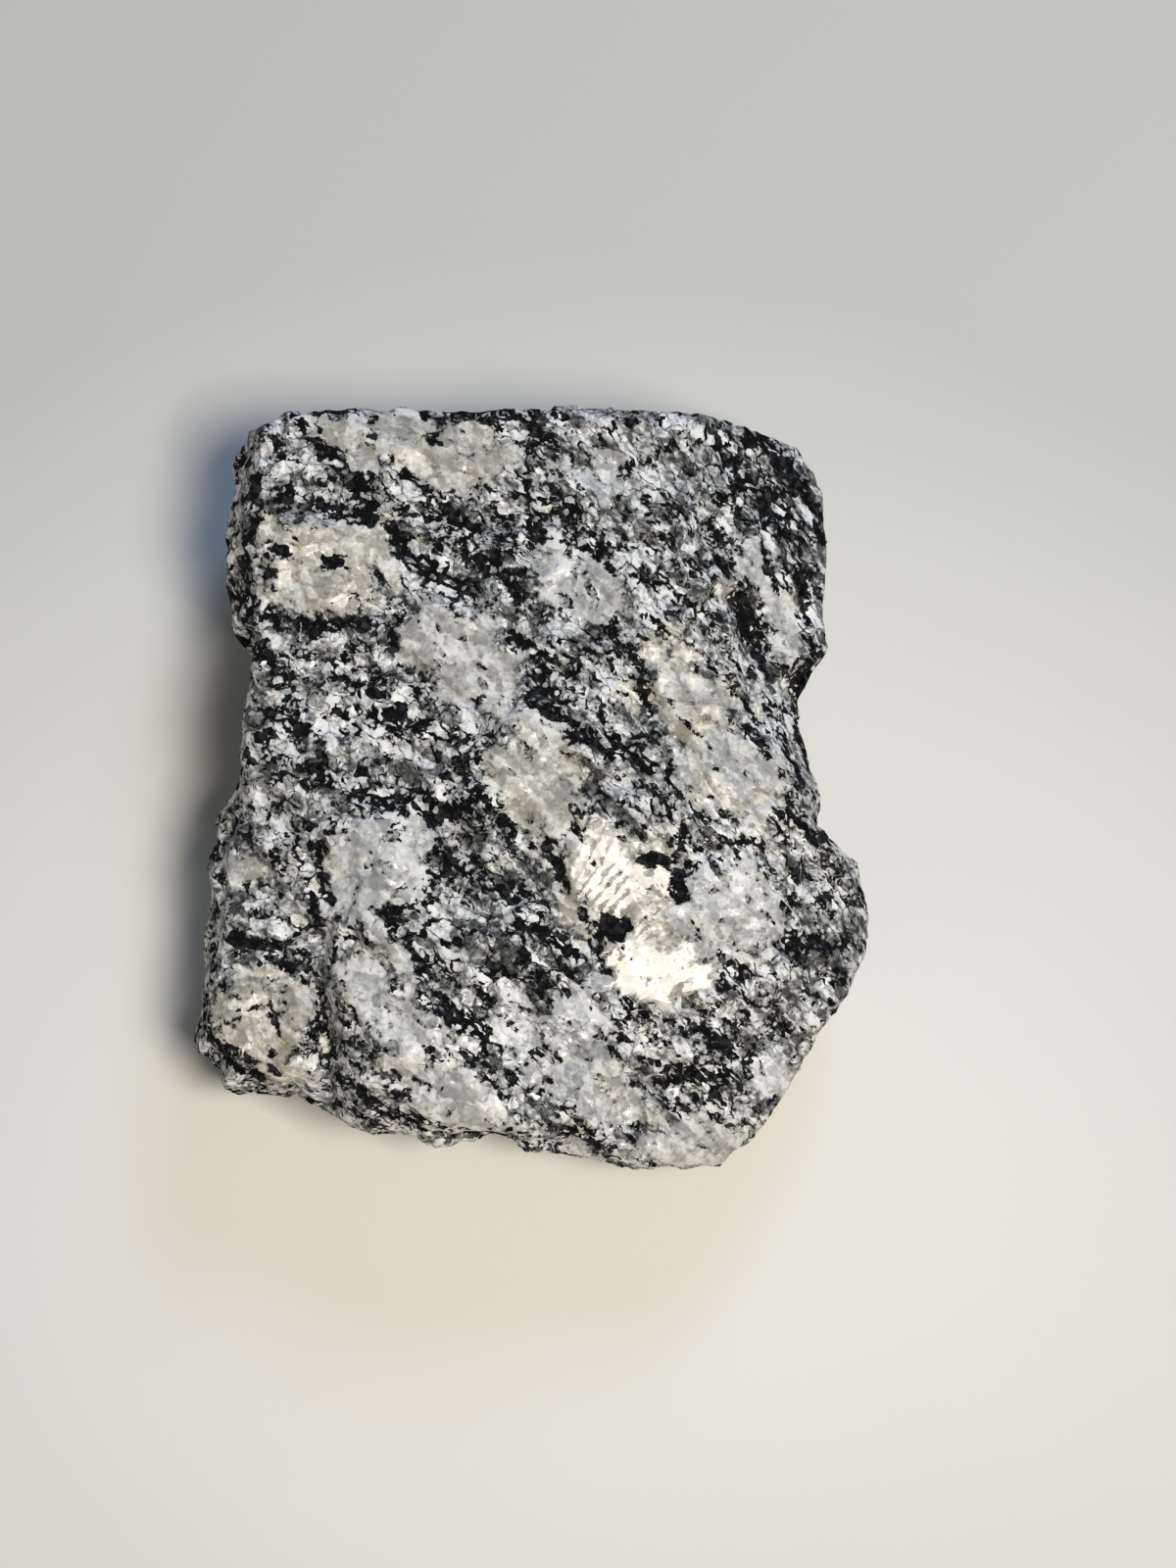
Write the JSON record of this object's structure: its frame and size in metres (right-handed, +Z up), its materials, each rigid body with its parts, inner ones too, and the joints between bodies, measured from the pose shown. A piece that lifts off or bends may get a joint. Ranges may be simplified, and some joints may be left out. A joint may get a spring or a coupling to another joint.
{
  "type": "granodiorite specimen",
  "caption": "Broken chip of banded granodiorite with a hackly crystalline top and a flat underside to rest on, a display or teaching rock specimen.",
  "frame": {"origin": "middle of the stone's outline on the flat underside", "axes": "+Z up from the resting face, +Y along the length towards the back, +X across the width to the right"},
  "size_m": [0.04, 0.0448, 0.0159],
  "materials": {
    "granodiorite": "rough broken crystals: pale feldspar, grey glassy quartz and black biotite in diagonal bands"
  },
  "bodies": {
    "root": {"granodiorite_chip": "granodiorite"}
  },
  "joints": []
}
